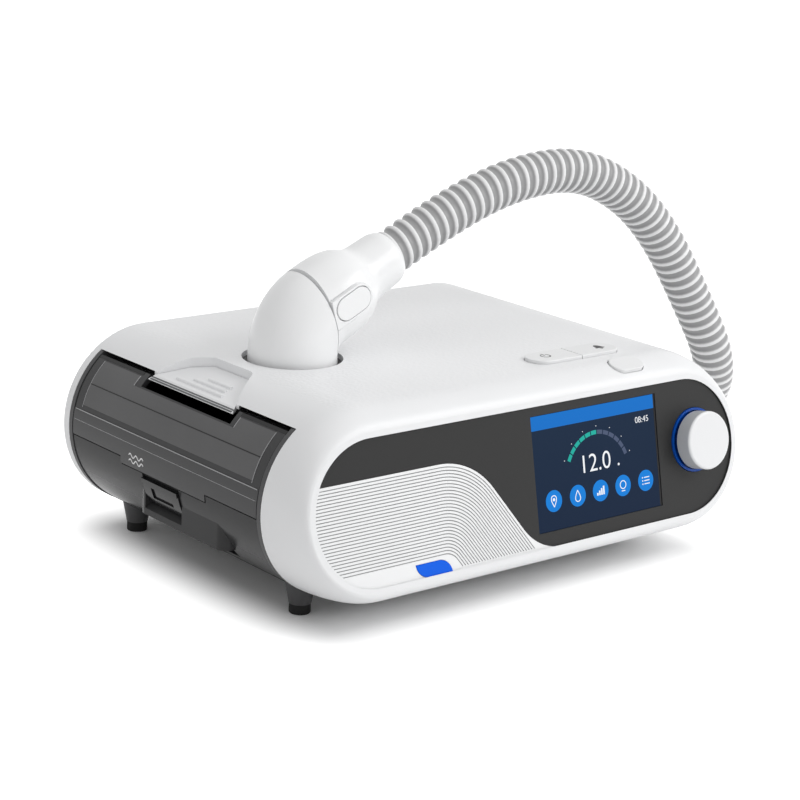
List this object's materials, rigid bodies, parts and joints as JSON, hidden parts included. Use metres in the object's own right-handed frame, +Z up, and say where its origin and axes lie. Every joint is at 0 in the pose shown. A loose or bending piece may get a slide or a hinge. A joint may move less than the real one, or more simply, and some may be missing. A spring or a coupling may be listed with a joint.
{
  "type": "cpap machine",
  "caption": "Bedside breathing-therapy machine with a pull-out water tank, a screen, a dial, push keys and a hose on a swivel elbow.",
  "frame": {"origin": "middle of the case's footprint, on the surface that the rubber feet stand on", "axes": "+Z up; -Y is the front with the screen; -X is the tank's end"},
  "size_m": [0.39, 0.4389, 0.1806],
  "materials": {
    "white_shell": "satin gloss",
    "white_trim": "gloss",
    "hose_white": "satin ribs",
    "dark_base": "fine texture",
    "smoked": "smoked, gloss",
    "panel_dark": "satin",
    "blue": "gloss",
    "screen": "clear",
    "inner_grey": "matt",
    "seal": "matt",
    "foot_rubber": "matt",
    "steel": "brushed",
    "aluminium": "satin",
    "board_green": "solder mask",
    "foam": "open foam"
  },
  "bodies": {
    "case": {"outer_shell": "white_shell", "base_chassis": "dark_base", "rubber_feet": "foot_rubber", "case_screws": "steel", "tank_bay": "dark_base", "heater_insulator": "inner_grey", "heater_plate": "aluminium", "port_seal": "seal", "outlet_collar": "dark_base", "outlet_seal": "seal", "wave_panel": "white_trim", "status_tab": "blue", "fascia": "panel_dark", "screen_lens": "screen", "display_module": "inner_grey", "panel_carrier": "inner_grey", "dial_light_ring": "blue", "dial_encoder": "inner_grey", "key_pad": "seal", "key_board": "board_green", "key_board_pegs": "inner_grey", "blower_boot": "seal", "blower_motor": "steel", "blower_housing": "inner_grey", "blower_cover": "inner_grey", "main_board": "board_green", "board_standoffs": "inner_grey", "rear_panel": "white_shell", "door_pin": "steel", "air_filter": "foam", "power_inlet": "dark_base"},
    "tank": {"tank_tub": "smoked", "tank_base_plate": "steel", "tank_gasket": "seal", "tank_roof": "smoked", "lid_pins": "steel", "latch_pin": "steel", "pad_pin": "steel"},
    "lid": {"tank_lid": "smoked"},
    "latch": {"tank_latch": "smoked"},
    "thumb_pad": {"release_pad": "white_shell"},
    "elbow": {"outlet_elbow": "white_trim"},
    "hose_end": {"hose_connector": "white_trim", "hose": "hose_white", "hose_coil": "hose_white", "hose_tail": "hose_white", "mask_cuff": "white_trim"},
    "hose_button": {"cuff_button": "white_trim"},
    "dial_plunger": {"encoder_plunger": "inner_grey"},
    "dial": {"dial_shaft": "steel", "dial_knob": "white_trim"},
    "power_button": {"power_key": "white_shell"},
    "mute_button": {"mute_key": "white_shell"},
    "menu_button": {"menu_key": "white_shell"},
    "fan": {"impeller": "inner_grey", "motor_shaft": "steel"},
    "door": {"filter_door": "white_shell"}
  },
  "joints": [
    {"name": "tank_slide", "type": "slide", "parent": "case", "child": "tank", "axis": [-1, 0, 0], "range_m": [0, 0.11]},
    {"name": "lid_hinge", "type": "hinge", "parent": "tank", "child": "lid", "pos_m": [-0.11587, 0.011, 0.08331], "axis": [0, 1, 0], "range_deg": [0, 95]},
    {"name": "latch_hinge", "type": "hinge", "parent": "tank", "child": "latch", "pos_m": [-0.12588, 0.017, 0.03416], "axis": [0, -1, 0], "range_deg": [0, 30], "stiffness_Nm_per_rad": 0.01},
    {"name": "pad_hinge", "type": "hinge", "parent": "tank", "child": "thumb_pad", "pos_m": [-0.0979, 0.011, 0.0875], "axis": [0, -1, 0], "range_deg": [0, 3.5], "stiffness_Nm_per_rad": 0.5},
    {"name": "elbow_swivel", "type": "hinge", "parent": "case", "child": "elbow", "pos_m": [-0.066, 0.01015, 0.099], "axis": [0, 0, 1], "range_deg": [0, 180]},
    {"name": "hose_pull", "type": "slide", "parent": "elbow", "child": "hose_end", "axis": [0.8988, 0, 0.4384], "range_m": [0, 0.025]},
    {"name": "cuff_button_push", "type": "slide", "parent": "hose_end", "child": "hose_button", "axis": [0, 1, 0], "range_m": [0, 0.0015], "stiffness_N_per_m": 400},
    {"name": "dial_push", "type": "slide", "parent": "case", "child": "dial_plunger", "axis": [0, 0.9781, -0.2079], "range_m": [0, 0.001], "stiffness_N_per_m": 600},
    {"name": "dial_turn", "type": "hinge", "parent": "dial_plunger", "child": "dial", "pos_m": [0.1, -0.0869, 0.0572], "axis": [0, -0.9781, 0.2079], "continuous": true},
    {"name": "power_push", "type": "slide", "parent": "case", "child": "power_button", "axis": [0, 0, -1], "range_m": [0, 0.001], "stiffness_N_per_m": 400},
    {"name": "mute_push", "type": "slide", "parent": "case", "child": "mute_button", "axis": [0, 0, -1], "range_m": [0, 0.001], "stiffness_N_per_m": 400},
    {"name": "menu_push", "type": "slide", "parent": "case", "child": "menu_button", "axis": [0, 0.309, -0.9511], "range_m": [0, 0.001], "stiffness_N_per_m": 400},
    {"name": "fan_spin", "type": "hinge", "parent": "case", "child": "fan", "pos_m": [0.046, 0.036, 0.055], "axis": [0, 0, 1], "continuous": true},
    {"name": "door_hinge", "type": "hinge", "parent": "case", "child": "door", "pos_m": [0, 0.095, 0.034], "axis": [-1, 0, 0], "range_deg": [0, 70]}
  ]
}
